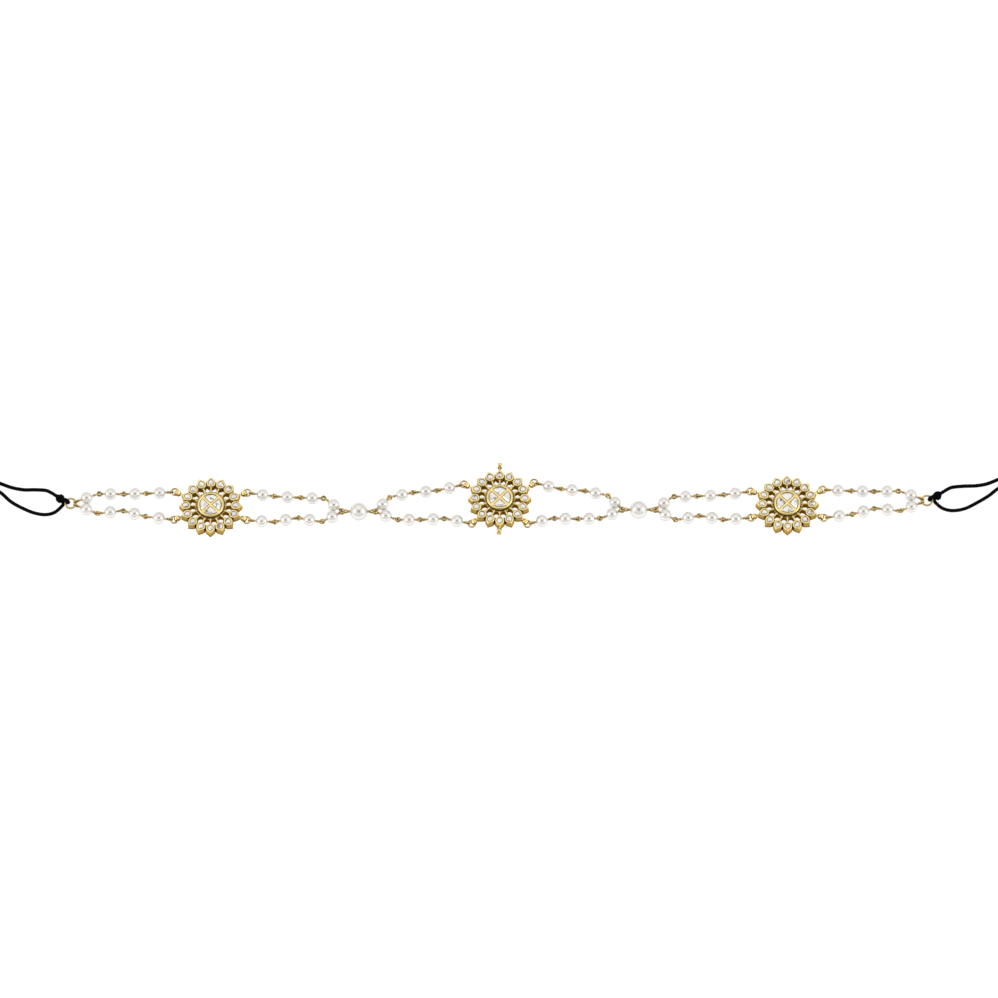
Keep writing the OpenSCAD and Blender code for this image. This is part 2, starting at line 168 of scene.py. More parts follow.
class EyeletSizes(bpy.types.PropertyGroup):
    """Sizes of the barrel eyelets on the motifs."""

    eyelet_r: size("Eyelet radius", "Outer radius of a barrel eyelet", 1.35)
    eyelet_w: size("Eyelet width", "Width of a barrel eyelet along its bore", 1.8)
    eyelet_bore: size("Eyelet bore", "Bore of a barrel eyelet", 1.35)
    groove: size("Eyelet groove", "Depth of the groove round a barrel eyelet's middle", 0.16)
    neck_root: size("Neck root", "How far an eyelet's neck reaches into its petal's tip", 0.7)
    neck_len: size("Neck length", "Length of the neck between a petal's tip and its eyelet", 0.45)
    neck_d: size("Neck thickness", "Thickness of an eyelet's neck", 1.1)
    link_z: size("Eyelet height", "Height of an eyelet's middle above the flat back", 2.5)


class StoneSizes(bpy.types.PropertyGroup):
    """Sizes of the flat-cut stones."""

    seat_gap: size("Seat gap", "Gap between a stone and the bottom of its pocket", 0.11)
    foil_gap: size("Foil gap", "Gap between a stone's edge and the gold pressed round it", 0.02)
    girdle_h: size("Girdle height", "Height of a stone's straight edge", 0.55)
    crown_h: size("Crown height", "Height of a stone's cut crown above its edge", 0.45)
    table_share: bpy.props.FloatProperty(
        name="Table share",
        description="Size of a stone's flat table as a share of its outline",
        default=0.56,
        min=0.1,
        max=0.9,
    )
    tilt: angle("Table tilt", "How far the hand-cut tables lean at most", 5)


class WireSizes(bpy.types.PropertyGroup):
    """Sizes of the rings and the eye pins."""

    wire_d: size("Bare wire", "Thickness of the bare wire of jump rings and eye pins", 0.5)
    plated_d: size("Plated wire", "Thickness of that wire with its plating and patina", 0.72)
    ring_r: size("Jump ring", "Radius of a jump ring to the middle of its wire", 1.46)
    ring_cut: size("Ring cut", "Width of the cut where a jump ring closes", 0.05)
    end_ring_r: size("End ring", "Radius of an end ring to the middle of its wire", 2.15)
    end_ring_d: size("End ring wire", "Thickness of an end ring's wire", 0.84)
    eye_r: size("Eye", "Radius of an eye on a small pearl's pin, to the middle of its wire", 0.84)
    hook_r: size("Big eye", "Radius of an eye on a big pearl's pin, to the middle of its wire", 1.18)
    wrap_d: size("Wrap wire", "Thickness of the wire wrapped round an eye's root", 0.3)
    collar_d: size("Collar", "Thickness of the wrapped collar", 1.2)
    collar_len: size("Collar length", "Length of the wrapped collar", 0.58)


class PearlSizes(bpy.types.PropertyGroup):
    """Sizes of the pearls that their CAD solids don't give."""

    bore: size("Drill hole", "Drill hole through a pearl", 0.8)
    bore_round: size("Drill hole's edge", "Rounding of the drill hole's edge", 0.1)


class CordSizes(bpy.types.PropertyGroup):
    """Sizes of the elastic cord and its knots."""

    cord_d: size("Cord", "Thickness of the cord", 1.5)
    wrap_r: size("Knot wraps", "Radius of the knot's wraps to the middle of the cord", 1.2)
    wrap_pitch: size("Wrap pitch", "From one wrap of the knot to the next", 1.0)
    bight_r: size("Bight", "Radius of the bight on the end ring, to the middle of the cord", 1.1)


class FinishColours(bpy.types.PropertyGroup):
    """Colours of the finishes."""

    gold: tone("Gold", "Polished gold of the motifs", (0.93, 0.74, 0.32))
    # The next two are painted shade of the gold: on its walls, and at their foot, in the recesses and where pieces
    # meet, there partly tarnish.
    gold_wall_shade: tone("Deep gold", "Gold in the recesses and on the walls", (0.48, 0.34, 0.10))
    gold_shade_and_tarnish: tone("Brown gold", "Tarnish at the bottom of the recesses", (0.08, 0.036, 0.003))
    # The wire's colour where painted light falls on its open upward faces, and its painted shade, partly patina, on its
    # sides and in its hollows.
    wire: tone("Wire", "Polished high places of the antique wire", (0.80, 0.60, 0.27))
    wire_patina_and_shade: tone("Dark wire", "Patina in the hollows of the antique wire", (0.19, 0.125, 0.035))
    pearl: tone("Pearl", "Body of the pearls", (0.93, 0.905, 0.87))
    pearl_rose: tone("Rose tint", "Rose overtone of the pearls", (0.93, 0.86, 0.84))
    pearl_green: tone("Green tint", "Green overtone of the pearls", (0.87, 0.89, 0.83))
    pearl_shade: tone("Pearl's underside", "Body of the pearls where it turns down to the floor", (0.30, 0.285, 0.26))
    stone: tone("Stone", "Foiled flat-cut stones", (0.96, 0.95, 0.93))
    stone_grey: tone("Stone's depth", "Grey depth of the foiled stones", (0.56, 0.56, 0.58))
    # The next two are painted reflections in the stones: dark spots, and the gold along their edges.
    stone_dark: tone("Stone's shade", "Dark reflections inside the foiled stones", (0.14, 0.14, 0.15))
    stone_gold: tone("Stone's edge", "Gold that the foiled stones mirror along their edges", (0.62, 0.47, 0.20))
    cord: tone("Cord", "Black elastic cord", (0.0025, 0.0025, 0.003))


class StudioSizes(bpy.types.PropertyGroup):
    """The camera, the floor and the light."""

    tilt: angle("Camera height", "Elevation of the camera above the floor", 65)
    lens: bpy.props.FloatProperty(name="Lens", description="Focal length in millimetres", default=300.0)
    view_w: size("View width", "Width of the picture at the jewel", 404.2)
    aim: bpy.props.FloatVectorProperty(
        name="Aim",
        description="Point on the floor in the picture's middle",
        default=(-0.0003, 0.00103, 0.0),
        subtype="TRANSLATION",
    )
    box_power: bpy.props.FloatProperty(name="Softboxes", description="Power of each softbox in watts", default=22.0)


def clear():
    """Leaves edit mode and selects nothing."""
    if bpy.context.mode != "OBJECT":
        bpy.ops.object.mode_set(mode="OBJECT")
    bpy.ops.object.select_all(action="DESELECT")


def focus(*pieces):
    """Selects these pieces alone, the first one active."""
    clear()
    for piece in pieces:
        piece.select_set(True)
    bpy.context.view_layer.objects.active = pieces[0]


def named(piece, name):
    """Gives a piece and its mesh their name."""
    piece.name = piece.data.name = name
    return piece


def begin(name):
    """Starts an empty piece at the origin, in edit mode."""
    clear()
    bpy.ops.object.add(type="MESH", location=ORIGIN, enter_editmode=True)
    return named(bpy.context.object, name)


def edited():
    """The mesh in edit mode."""
    return bmesh.from_edit_mesh(bpy.context.edit_object.data)


def pick(kind, test):
    """In edit mode, selects the shown faces, edges or corners that pass the test, and nothing else."""
    bpy.ops.mesh.select_mode(type=kind)
    bpy.ops.mesh.select_all(action="DESELECT")
    mesh = edited()
    for part in {"FACE": mesh.faces, "EDGE": mesh.edges, "VERT": mesh.verts}[kind]:
        if not part.hide and test(part):
            part.select_set(True)
    mesh.select_flush_mode()
    bmesh.update_edit_mesh(bpy.context.edit_object.data)


def pick_all():
    """In edit mode, selects all that is shown."""
    bpy.ops.mesh.select_all(action="SELECT")


def circle(corners, radius, at=ORIGIN, turn=ORIGIN, filled=True):
    """In edit mode, adds a flat disc, or an open circle if it isn't filled."""
    fill = "NGON" if filled else "NOTHING"
    bpy.ops.mesh.primitive_circle_add(vertices=corners, radius=radius, fill_type=fill, location=at, rotation=turn)


def block(at, lengths):
    """In edit mode, adds a box of these lengths round its middle."""
    bpy.ops.mesh.primitive_cube_add(size=1.0, location=at, scale=lengths)


def extrude(x=0.0, y=0.0, z=0.0):
    """Extrudes what is selected and moves it."""
    bpy.ops.mesh.extrude_region_move(TRANSFORM_OT_translate={"value": (x, y, z)})


def step_in(width):
    """Insets the selected faces evenly."""
    bpy.ops.mesh.inset(thickness=width, use_even_offset=True)


def move_by(x=0.0, y=0.0, z=0.0):
    """Moves what is selected."""
    bpy.ops.transform.translate(value=(x, y, z))


def scale_by(x, y, z=1.0, about=ORIGIN):
    """Scales what is selected about a point."""
    bpy.ops.transform.resize(value=(x, y, z), center_override=about)


def rotate_by(turn, axis="Z", about=ORIGIN):
    """Turns what is selected about an axis through a point."""
    bpy.ops.transform.rotate(value=turn, orient_axis=axis, center_override=about)


def trim(at, beyond):
    """Cuts off what is shown beyond a plane, and leaves it open there."""
    pick_all()
    bpy.ops.mesh.bisect(plane_co=at, plane_no=beyond, clear_outer=True, use_fill=False)


def above(edge, height):
    """Whether an edge lies wholly above a height."""
    return all(corner.co.z > height for corner in edge.verts)


def rims(level):
    """A test that only the sharp edges at a level pass."""
    def test(edge):
        return all(abs(corner.co.z - level) < LEVEL for corner in edge.verts) and edge.calc_face_angle(0) > SHARP
    return test


def soften(test, width, segments=2):
    """Rounds the shown edges that pass the test."""
    pick("EDGE", test)
    bpy.ops.mesh.bevel(offset=width, offset_type="OFFSET", segments=segments, affect="EDGES", clamp_overlap=True)


def hoop(corners, wire_r, ring_r, steps, cut=0.0):
    """In edit mode, bends round wire to a ring about Z, which has open ends only where there is a cut."""
    circle(corners, wire_r, (ring_r, 0, 0), UPRIGHT, filled=False)
    bpy.ops.mesh.spin(
        steps=steps, angle=FULL - cut / ring_r, center=ORIGIN, axis=Z_AXIS, use_auto_merge=not cut
    )


def wind(corners, wire_r, start, turns, rise, steps):
    """A piece of round wire wound about Z with closed ends, left in edit mode."""
    wire = begin("coil")
    circle(corners, wire_r, start, UPRIGHT)
    bpy.ops.object.mode_set(mode="OBJECT")
    coil = wire.modifiers.new("coil", "SCREW")
    coil.axis = "Z"
    coil.angle = FULL * turns
    coil.screw_offset = rise
    coil.steps = coil.render_steps = steps
    bpy.ops.object.modifier_apply(modifier=coil.name)
    bpy.ops.object.mode_set(mode="EDIT")
    close_ends()
    return wire


def draw_leaf(round_r, tip_x):
    """In edit mode, draws the front of a circle round the origin out into two straight flanks that meet on +X."""
    touch = math.acos(round_r / tip_x)
    touch_x, touch_y = round_r * math.cos(touch), round_r * math.sin(touch)
    moves = []
    for corner in edited().verts:
        heading = math.atan2(corner.co.y, corner.co.x)
        if not corner.hide and abs(heading) < touch - 1e-3:
            share = abs(heading) / touch
            goal = (tip_x + (touch_x - tip_x) * share, math.copysign(touch_y * share, heading), corner.co.z)
            moves.append((corner.index, Vector(goal) - corner.co))
    for index, move in moves:
        pick("VERT", lambda corner: corner.index == index)
        move_by(*move)
    pick("FACE", lambda face: True)


def put_by():
    """Hides what is modelled so far in edit mode, so that the next steps leave it alone."""
    pick_all()
    bpy.ops.mesh.hide(unselected=False)


def copy_round(number):
    """In edit mode, repeats all that is shown round Z, this many times in all, and puts it by."""
    pick_all()
    bpy.ops.mesh.spin(
        steps=number - 1, dupli=True, angle=FULL * (number - 1) / number, center=ORIGIN, axis=Z_AXIS
    )
    put_by()


def close_ends():
    """Closes each open loop with a face."""
    pick("EDGE", lambda edge: edge.is_boundary)
    if any(edge.select for edge in edited().edges):
        bpy.ops.mesh.edge_face_add()


def settle(smooth):
    """Shows all that was put by, merges doubles, turns the faces outwards and leaves edit mode.

    Edges that turn by less than smooth, in degrees, are shaded smooth.
    """
    bpy.ops.mesh.reveal(select=True)
    pick_all()
    bpy.ops.mesh.remove_doubles(threshold=MERGE)
    bpy.ops.mesh.normals_make_consistent(inside=False)
    bpy.ops.object.mode_set(mode="OBJECT")
    if smooth:
        bpy.ops.object.shade_smooth_by_angle(angle=math.radians(smooth))


def put_at(piece, place):
    """Moves and turns a piece in its mesh."""
    focus(piece)
    piece.matrix_world = place
    bpy.ops.object.transform_apply(location=True, rotation=True, scale=True)
    return piece


def copy_to(source, place):
    """A copy of a piece with its own mesh, moved and turned in its mesh."""
    focus(source)
    bpy.ops.object.duplicate(linked=False)
    return put_at(bpy.context.object, place)


def join(name, pieces):
    """Joins pieces into one."""
    focus(*pieces)
    if len(pieces) > 1:
        bpy.ops.object.join()
    return named(bpy.context.object, name)


def discard(*pieces):
    """Removes the masters that were copied."""
    for piece in pieces:
        bpy.data.objects.remove(piece)


def dress(piece, node, build):
    """Gives a piece its finish and its place in the frame, where it stands for a CAD node."""
    piece.data.materials.clear()
    piece.data.materials.append(material_of(build))
    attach(piece, "root")
    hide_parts(node)


def facing(place, ahead, up):
    """A matrix that puts a master's origin at a place, its X along ahead and its Z as near up as it can."""
    x = Vector(ahead).normalized()
    y = Vector(up).cross(x).normalized()
    return Matrix.Translation(Vector(place)) @ Matrix((x, y, x.cross(y))).transposed().to_4x4()


def turned(heading, place):
    """A matrix that turns about Z and then moves to a place."""
    return Matrix.Translation(Vector(place)) @ Matrix.Rotation(heading, 4, "Z")


def outward(heading, distance):
    """A step of this length from a motif's centre."""
    return Vector((math.cos(heading), math.sin(heading), 0)) * distance


def solids(node):
    """The separate solids of a CAD node: for each, the node's corners and the solid's triangles."""
    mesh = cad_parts[node].data
    places = np.empty(len(mesh.vertices) * 3)
    mesh.vertices.foreach_get("co", places)
    places = places.reshape(-1, 3)
    mesh.calc_loop_triangles()
    corners = np.empty(len(mesh.loop_triangles) * 3, dtype=int)
    mesh.loop_triangles.foreach_get("vertices", corners)
    cells = np.round(places / (2 * LEVEL)).astype(int)
    _, first, merged = np.unique(cells, axis=0, return_index=True, return_inverse=True)
    triangles = merged.reshape(-1)[corners].reshape(-1, 3)
    places = places[first]
    labels = np.arange(len(places))
    while True:
        lowest = labels[triangles].min(axis=1)
        spread = labels.copy()
        for k in range(3):
            np.minimum.at(spread, triangles[:, k], lowest)
        spread = spread[spread]
        if (spread == labels).all():
            break
        labels = spread
    return [(places, triangles[labels[triangles[:, 0]] == label]) for label in np.unique(labels[triangles])]


def middle_of(node):
    """The middle of a CAD node's box."""
    low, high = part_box(node)
    return (Vector(low) + Vector(high)) / 2


def pearl_places(node):
    """Middle, radius and drill hole's direction of each pearl in a CAD node, from left to right."""
    # Triangles nearer to the middle than this share of the radius belong to the drill hole
    inside = 0.9
    found = []
    for places, triangles in solids(node):
        used = places[np.unique(triangles)]
        middle = (used.min(axis=0) + used.max(axis=0)) / 2
        radius = np.linalg.norm(used - middle, axis=1).max()
        depths = np.linalg.norm(places[triangles].mean(axis=1) - middle, axis=1)
        rim = places[np.unique(triangles[depths < inside * radius])] - middle
        ahead = rim[rim @ rim[0] > 0].mean(axis=0)
        ahead *= np.sign(ahead[0])
        found.append((Vector(middle), float(radius), Vector(ahead).normalized()))
    if not found:
        raise RuntimeError(f"no pearl was found in {node}")
    return sorted(found, key=lambda pearl: pearl[0].x)


def eye_places(pin_node, pearl_node, ring_r, wire_r):
    """Middle of each eye of a node's pins, the way from it to its pearl, the eye's plane and how far out it lies."""
    # The eye's plane is read from its outer part, which starts this share of its radius past its middle
    outer_from = 0.3
    pearls = pearl_places(pearl_node)
    found = []
    for places, triangles in solids(pin_node):
        used = places[np.unique(triangles)]
        middle = Vector((used.min(axis=0) + used.max(axis=0)) / 2)
        centre, _, ahead = min(pearls, key=lambda pearl: (pearl[0] - middle).length)
        for way in (-1, 1):
            axis = np.array(ahead) * way
            steps = used - np.array(centre)
            along = steps @ axis
            reach = float(along.max()) - ring_r - wire_r
            outer = steps[along > reach + outer_from * ring_r]
            flat = outer - np.outer(outer @ axis, axis)
            across = np.linalg.svd(flat - flat.mean(axis=0), full_matrices=False)[2][0]
            plane = Vector(np.cross(axis, across)).normalized()
            found.append((centre + Vector(axis) * reach, -Vector(axis), plane, reach))
    return found


class Signal:
    """A number, colour or vector on its way through a finish's nodes."""

    def __init__(self, finish, socket):
        self.finish = finish
        self.socket = socket

    def __add__(self, other):
        return self.finish.maths("ADD", self, other)

    def __radd__(self, other):
        return self.finish.maths("ADD", other, self)

    def __sub__(self, other):
        return self.finish.maths("SUBTRACT", self, other)

    def __rsub__(self, other):
        return self.finish.maths("SUBTRACT", other, self)

    def __mul__(self, other):
        return self.finish.maths("MULTIPLY", self, other)

    def __rmul__(self, other):
        return self.finish.maths("MULTIPLY", other, self)


class Finish:
    """A material or world in the making, whose nodes are added one by one."""

    def __init__(self, owner):
        owner.use_nodes = True
        self.tree = owner.node_tree
        self.tree.nodes.clear()

    def add(self, kind, sockets=None, out=0, **settings):
        """Adds a node, makes its settings, then fills or links its sockets, and gives the output asked for."""
        node = self.tree.nodes.new("ShaderNode" + kind)
        for name, value in settings.items():
            setattr(node, name, value)
        for name, value in (sockets or {}).items():
            if isinstance(value, Signal):
                self.tree.links.new(value.socket, node.inputs[name])
            else:
                node.inputs[name].default_value = value
        return None if out is None else Signal(self, node.outputs[out])

    def maths(self, operation, *numbers):
        """A sum on one or two numbers."""
        return self.add("Math", dict(enumerate(numbers)), operation=operation)

    def place(self):
        """Where the shaded point lies on the piece."""
        return self.add("TexCoord", out="Object")

    def part(self, vector, axis):
        """One part of a vector: X, Y or Z."""
        return self.add("SeparateXYZ", {"Vector": vector}, out=axis)

    def noise(self, at, scale, detail=3.0, roughness=0.5):
        """Cloudy noise from 0 to 1."""
        return self.add("TexNoise", {"Vector": at, "Scale": scale, "Detail": detail, "Roughness": roughness})

    def mix(self, share, first, second):
        """A colour between two colours."""
        first, second = (value if isinstance(value, Signal) else (*value, 1.0) for value in (first, second))
        return self.add("Mix", {0: share, 6: first, 7: second}, out=2, data_type="RGBA")

    def span(self, value, low, high, to_low=0.0, to_high=1.0):
        """Stretches the range from low to high onto another, clamped and smooth."""
        return self.add(
            "MapRange",
            {"Value": value, "From Min": low, "From Max": high, "To Min": to_low, "To Max": to_high},
            interpolation_type="SMOOTHSTEP",
        )

    def dents(self, height, distance, strength):
        """A bumped normal from a height."""
        return self.add("Bump", {"Height": height, "Distance": distance, "Strength": strength})

    def recess(self, distance, alone=True):
        """How open the surface is: 1 in the open, less in a hollow of its own piece or, if not alone, by another."""
        return self.add("AmbientOcclusion", {"Distance": distance}, out="AO", samples=8, only_local=alone)

    def upward(self, low, high):
        """How far the surface faces up, from 0 on the walls to 1 on the tops: it sets where painted light and painted
        shade go.
        """
        return self.span(self.part(self.add("TexCoord", out="Normal"), "Z"), low, high)

    def surface(self, **sockets):
        """The shader and the output."""
        shader = self.add("BsdfPrincipled", {name.replace("_", " "): value for name, value in sockets.items()})
        self.add("OutputMaterial", {"Surface": shader}, out=None)


def material_of(build):
    """The material that a function builds, which bears its name and is built only once."""
    material = bpy.data.materials.get(build.__name__)
    if not material:
        material = bpy.data.materials.new(build.__name__)
        build(Finish(material), bpy.context.scene.jewel_finish)
    return material


def polished_gold(finish, colours):
    """Cast and polished gold, bright on the edges, with painted light in its colour: lighter on the high tops that face
    up, painted shade on the lower walls, in the recesses and where pieces meet, there partly tarnish; with soft dents
    and fine wear.
    """
    at = finish.place()
    height = finish.part(at, "Z")
    clouds, speckle = finish.noise(at, 420.0, 4.0, 0.6), finish.noise(at, 3200.0, 3.0, 0.6)
    hammer, grain = finish.noise(at, 900.0, 2.0), finish.noise(at, 9000.0, 2.0)
    # Painted light: the tops that face up are painted lighter, most of all the high ones, in random patches of wear;
    # the walls are painted darker towards the bottom, as painted shade.
    lit_tops_and_wear = finish.upward(0.2, 0.75) * finish.span(clouds, 0.15, 0.5, 0.8, 1.0)
    high_top_light_and_wear = lit_tops_and_wear * finish.span(height, 2.1 * MM, 3.1 * MM, 0.25, 1.0)
    wall = finish.mix(finish.span(height, 0.0, 2.4 * MM, 0.3, 1.0), colours.gold_shade_and_tarnish, colours.gold_wall_shade)
    # Painted shade in the piece's own recesses and openings, partly tarnish.
    painted_lit_share = finish.span(finish.recess(2.8 * MM), 0.4, 0.9)
    shaded_and_tarnished = finish.mix(painted_lit_share, colours.gold_shade_and_tarnish, finish.mix(high_top_light_and_wear, wall, colours.gold))
    # Painted shade where other pieces come close to the gold.
    contact_shade = finish.span(finish.recess(0.6 * MM, alone=False), 0.35, 0.8)
    finish.surface(
        Base_Color=finish.mix(contact_shade, colours.gold_shade_and_tarnish, shaded_and_tarnished),
        Metallic=1.0,
        Roughness=finish.span(speckle, 0.3, 0.75, 0.14, 0.34),
        Specular_Tint=(0.85, 0.6, 0.25, 1.0),
        Normal=finish.dents(hammer + grain * 0.12, 0.09 * MM, 0.8),
    )


def tarnished_wire(finish, colours):
    """Antique gold wire: bright where painted light falls on its open upward faces, with painted shade, partly patina,
    on its sides and in its hollows, and olive brown in random patches.
    """
    at = finish.place()
    patches = finish.span(finish.noise(at, 850.0, 4.0, 0.6), 0.32, 0.58)
    # Painted light on the open faces that face up; painted shade, partly patina, on the sides and in the hollows.
    painted_lit_share = finish.span(finish.recess(0.75 * MM), 0.2, 0.95) * finish.upward(-0.1, 0.75)
    finish.surface(
        Base_Color=finish.mix(painted_lit_share * (patches * 0.5 + 0.5), colours.wire_patina_and_shade, colours.wire),
        Metallic=1.0,
        Roughness=finish.span(patches, 0.0, 1.0, 0.42, 0.22),
        Specular_Tint=(0.8, 0.62, 0.35, 1.0),
        Normal=finish.dents(finish.noise(at, 5200.0, 2.0, 0.6), 0.03 * MM, 0.7),
    )


def nacre(finish, colours):
    """Pearl: a soft white body with faint rose and green overtones under a clear skin."""
    at = finish.place()
    elsewhere = finish.add("Mapping", {"Vector": at, "Location": (0.3, 0.1, 0.2)})
    rose = finish.span(finish.noise(at, 130.0, 2.0), 0.42, 0.66)
    green = finish.span(finish.noise(elsewhere, 110.0, 2.0), 0.45, 0.7)
    blush = finish.mix(rose * 0.5, colours.pearl, colours.pearl_rose)
    body = finish.mix(green * 0.45, blush, colours.pearl_green)
    skin = finish.noise(at, 420.0, 1.0, 0.4)
    finish.surface(
        # Painted shade: the underside, which turns down to the floor, is painted darker.
        Base_Color=finish.mix(finish.upward(-0.8, 0.3), colours.pearl_shade, body),
        Metallic=0.5,
        Roughness=finish.span(skin, 0.3, 0.7, 0.13, 0.21),
        Specular_Tint=(0.6, 0.58, 0.55, 1.0),
        Coat_Weight=0.3,
        Coat_Roughness=0.05,
        Normal=finish.dents(skin, 0.03 * MM, 0.3),
    )


def foiled_stone(finish, colours):
    """Foiled flat-cut stone: bright facets over a pale grey depth, with painted dark reflections in spots, a painted
    reflection of the gold along its edges, and fine flaws.
    """
    at = finish.place()
    depth = finish.span(finish.noise(at, 520.0, 3.0, 0.6), 0.38, 0.68)
    flaws = finish.span(finish.noise(at, 2600.0, 4.0, 0.7), 0.52, 0.72)
    # Painted reflection: dark spots where the facets would mirror dark surroundings.
    painted_dark_reflection = finish.span(finish.noise(at, 700.0, 1.0, 0.4), 0.6, 0.67)
    pale = finish.mix(depth * 0.55 + flaws * 0.2, colours.stone, colours.stone_grey)
    cut = finish.mix(painted_dark_reflection * 0.85, pale, colours.stone_dark)
    # Painted reflection of the gold bezel along the stone's edges, where other pieces are near.
    painted_gold_edge_mask = finish.span(finish.recess(0.8 * MM, alone=False), 0.45, 0.9)
    finish.surface(
        Base_Color=finish.mix(painted_gold_edge_mask, colours.stone_gold, cut),
        Metallic=0.4,
        Roughness=finish.span(flaws, 0.0, 1.0, 0.06, 0.2),
        Coat_Weight=1.0,
        Coat_Roughness=0.02,
        Normal=finish.dents(finish.noise(at, 1500.0, 2.0), 0.02 * MM, 0.5),
    )


def elastic(finish, colours, braid):
    """Black elastic in a fine fuzzy cover, whose braid is given as a height."""
    fuzz = finish.noise(finish.place(), 6000.0, 3.0, 0.7)
    # Painted shade: the low places between the braid's strands are painted darker, with random fuzz.
    finish.surface(
        Base_Color=finish.mix(finish.span(braid + fuzz * 0.5, 0.2, 1.3), (0.002, 0.002, 0.002), colours.cord),
        Roughness=finish.span(fuzz, 0.3, 0.7, 0.55, 0.8),
        Specular_IOR_Level=0.04,
        Normal=finish.dents(braid + fuzz * 0.25, 0.06 * MM, 0.9),
    )


def braided_cord(finish, colours):
    """The loops' cover: two sets of strands that cross along the cord."""
    along = finish.add("TexCoord", out="UV")
    length_turns, round_turns = finish.part(along, "X") * (FULL * 150), finish.part(along, "Y") * (FULL * 8)
    one, other = finish.maths("SINE", round_turns + length_turns), finish.maths("SINE", round_turns - length_turns)
    elastic(finish, colours, one * other * 0.5 + 0.5)


def braided_knot(finish, colours):
    """The knots' cover: fine cells, which need no map along the cord."""
    cells = finish.add("TexVoronoi", {"Vector": finish.place(), "Scale": 3600.0}, out="Distance")
    elastic(finish, colours, 1.0 - cells)


def pale_floor(finish, colours):
    """A matt white floor that glows evenly and darkens far away."""
    far = finish.add("VectorMath", {0: finish.place()}, out="Value", operation="LENGTH")
    finish.surface(
        Base_Color=(0.2, 0.2, 0.2, 1.0),
        Roughness=1.0,
        Specular_IOR_Level=0.0,
        Emission_Color=finish.mix(finish.span(far, 0.5, 2.2), (1.0, 1.0, 1.0), (0.3, 0.3, 0.31)),
        Emission_Strength=0.95,
    )


def smooth_route(route, steps):
    """The cord's centreline: points on the smooth curve through its route."""
    points = [Vector(point) for point in route]
    last = len(points) - 1
    line = []
    for i in range(last):
        a, b, c, d = points[max(i - 1, 0)], points[i], points[i + 1], points[min(i + 2, last)]
        for k in range(steps):
            t = k / steps
            line.append(
                0.5 * (2 * b + (c - a) * t + (2 * a - 5 * b + 4 * c - d) * t * t + (3 * b - a - 3 * c + d) * t ** 3)
            )
    return [*line, points[last]]


def sweep(name, line, radius):
    """A round cord along a line, as a mesh whose UV map runs along it and round it."""
    curve = bpy.data.curves.new(name, "CURVE")
    curve.dimensions = "3D"
    curve.bevel_depth = radius
    curve.bevel_resolution = 3
    curve.use_fill_caps = True
    spline = curve.splines.new("POLY")
    spline.points.add(len(line) - 1)
    for point, spot in zip(spline.points, line):
        point.co = (*spot, 1.0)
    cord = bpy.data.objects.new(name, curve)
    bpy.context.collection.objects.link(cord)
    focus(cord)
    bpy.ops.object.convert(target="MESH")
    bpy.ops.object.shade_smooth()
    return named(bpy.context.object, name)


class JEWEL_OT_studio(bpy.types.Operator):
    """Sets up the camera, the pale floor and the soft light."""

    bl_idname = "jewel.studio"
    bl_label = "Studio"

    def execute(self, context):
        studio = context.scene.jewel_studio
        back = Vector((0, -math.cos(studio.tilt), math.sin(studio.tilt)))
        clear()
        bpy.ops.object.camera_add(
            location=Vector(studio.aim) + back * (studio.view_w * studio.lens / SENSOR_W),
            rotation=(QUARTER - studio.tilt, 0, 0),
        )
        camera = named(context.object, "camera")
        camera.data.lens = studio.lens
        camera.data.clip_start, camera.data.clip_end = 0.05, 60.0
        context.scene.camera = camera
        context.scene.view_settings.view_transform = "Standard"
        context.scene.view_settings.look = "None"

        bpy.ops.mesh.primitive_plane_add(size=FLOOR_SIZE, location=ORIGIN)
        floor = named(context.object, "floor")
        floor.data.materials.append(material_of(pale_floor))

        context.scene.world = self.sky(back)
        for way, side in zip((-1, 1), SIDES):
            place = Vector((way * SOFTBOX_AT[0], *SOFTBOX_AT[1:]))
            bpy.ops.object.light_add(type="AREA", location=place)
            box = named(context.object, f"softbox_{side}")
            box.rotation_euler = (-place).to_track_quat("-Z", "Y").to_euler()
            box.data.shape = "RECTANGLE"
            box.data.size, box.data.size_y = SOFTBOX_SIZE
            box.data.energy = studio.box_power
        return {"FINISHED"}

    def sky(self, back):
        """A pale room, brighter overhead and where flat tops mirror it, with the dark lens where the camera is."""
        world = bpy.data.worlds.new("studio")
        sky = Finish(world)
        ahead = sky.add("TexCoord", out="Generated")

        def patch(x, y, z, rim, core):
            direction = tuple(Vector((x, y, z)).normalized())
            nearness = sky.add("VectorMath", {0: ahead, 1: direction}, out="Value", operation="DOT_PRODUCT")
            return sky.span(nearness, math.cos(math.radians(rim)), math.cos(math.radians(core)))

        lens_shade = patch(*back, rim=27, core=12)
        ceiling_glow = patch(0, -back.y, back.z, rim=30, core=12)
        horizon = sky.span(sky.part(ahead, "Z"), 0.0, 0.55, 0.45, 0.8)
        glow = horizon - lens_shade * 0.8 + ceiling_glow * 0.25
        light = sky.add("Background", {"Color": (1.0, 0.99, 0.97, 1.0), "Strength": glow})
        sky.add("OutputWorld", {"Surface": light}, out=None)
        return world


